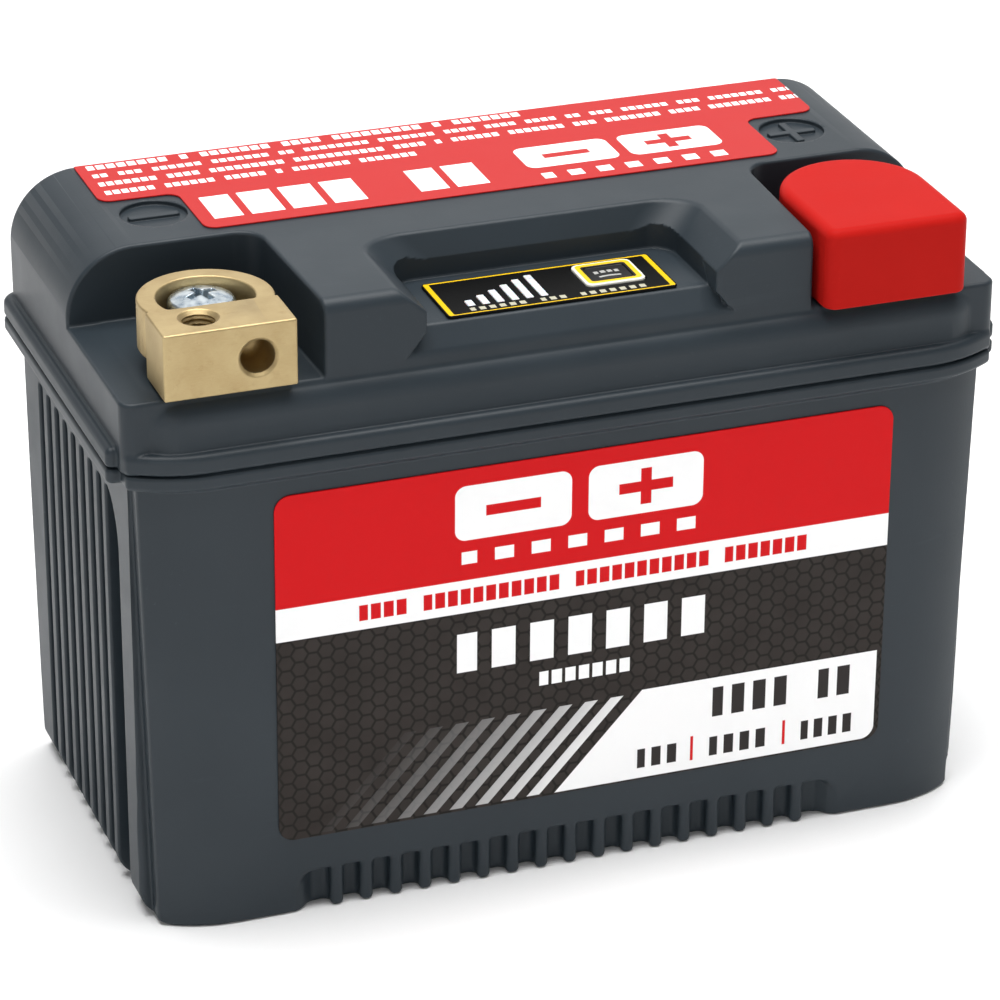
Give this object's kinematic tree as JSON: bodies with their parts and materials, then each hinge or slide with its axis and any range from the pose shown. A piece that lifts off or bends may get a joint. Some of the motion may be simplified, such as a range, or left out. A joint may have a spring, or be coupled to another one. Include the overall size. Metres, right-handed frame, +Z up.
{
  "type": "motorcycle battery",
  "caption": "Sealed lithium motorcycle battery: ribbed rectangular case, stepped lid with corner notches for brass terminal blocks, charge display with test button, lift-off positive cap.",
  "frame": {"origin": "on the ground under the middle of the battery", "axes": "+X towards the positive terminal along the length, +Y towards the back, +Z up; the terminals and the main label face -Y"},
  "size_m": [0.179, 0.087, 0.1276],
  "materials": {
    "case_plastic": "satin moulded dark grey polypropylene with a fine texture",
    "brass": "milled, fine matte grain",
    "zinc_steel": "bright zinc plate with a cool tint",
    "cap_plastic": "soft satin red vinyl",
    "front_label": "glossy laminated film, red, white and patterned black",
    "top_label": "glossy laminated film, light red",
    "display_panel": "black film with a yellow border",
    "button_film": "yellow and white ring on black film",
    "light_pipe": "frosted pale grey",
    "circuit_board": "green solder mask",
    "black_plastic": "moulded black",
    "cell_can": null,
    "holder_plastic": "natural moulded plastic",
    "nickel": "rolled nickel strip",
    "foam": "closed-cell foam, very light",
    "seal_rubber": "soft black",
    "lead_black": "black insulation",
    "lead_red": "red insulation",
    "led": "pale diffuser"
  },
  "bodies": {
    "battery": {"base_pad": "foam", "board_screw_1": "zinc_steel", "board_screw_2": "zinc_steel", "board_screw_3": "zinc_steel", "board_screw_4": "zinc_steel", "case": "case_plastic", "cell_1": "cell_can", "cell_2": "cell_can", "cell_3": "cell_can", "cell_4": "cell_can", "cell_5": "cell_can", "cell_6": "cell_can", "cell_7": "cell_can", "cell_8": "cell_can", "charge_bar_1": "light_pipe", "charge_bar_2": "light_pipe", "charge_bar_3": "light_pipe", "charge_bar_4": "light_pipe", "charge_bar_5": "light_pipe", "charge_bar_6": "light_pipe", "display_panel": "display_panel", "front_label": "front_label", "indicator_board": "circuit_board", "indicator_cable": "lead_black", "indicator_led_1": "led", "indicator_led_2": "led", "indicator_led_3": "led", "indicator_led_4": "led", "indicator_led_5": "led", "indicator_led_6": "led", "left_end_pad": "foam", "lid": "case_plastic", "lid_seal": "seal_rubber", "lower_cell_holder": "holder_plastic", "lower_strap_left": "nickel", "lower_strap_right": "nickel", "negative_lead": "lead_black", "negative_terminal_block": "brass", "negative_terminal_insert": "brass", "negative_terminal_screw": "zinc_steel", "negative_terminal_seal": "seal_rubber", "negative_terminal_washer": "zinc_steel", "positive_lead": "lead_red", "positive_terminal_block": "brass", "positive_terminal_insert": "brass", "positive_terminal_screw": "zinc_steel", "positive_terminal_seal": "seal_rubber", "positive_terminal_washer": "zinc_steel", "protection_board": "circuit_board", "right_end_pad": "foam", "test_switch": "black_plastic", "top_label": "top_label", "upper_cell_holder": "holder_plastic", "upper_strap_middle": "nickel", "upper_strap_negative": "nickel", "upper_strap_positive": "nickel"},
    "button": {"test_button": "button_film"},
    "positive_cap": {"positive_terminal_cap": "cap_plastic"}
  },
  "joints": [
    {"name": "test_button_press", "type": "slide", "parent": "battery", "child": "button", "axis": [0, 0, -1], "range_m": [0, 0.0006], "stiffness_N_per_m": 400},
    {"name": "positive_cap_lift", "type": "slide", "parent": "battery", "child": "positive_cap", "axis": [0, 0, 1], "range_m": [0, 0.03]}
  ]
}
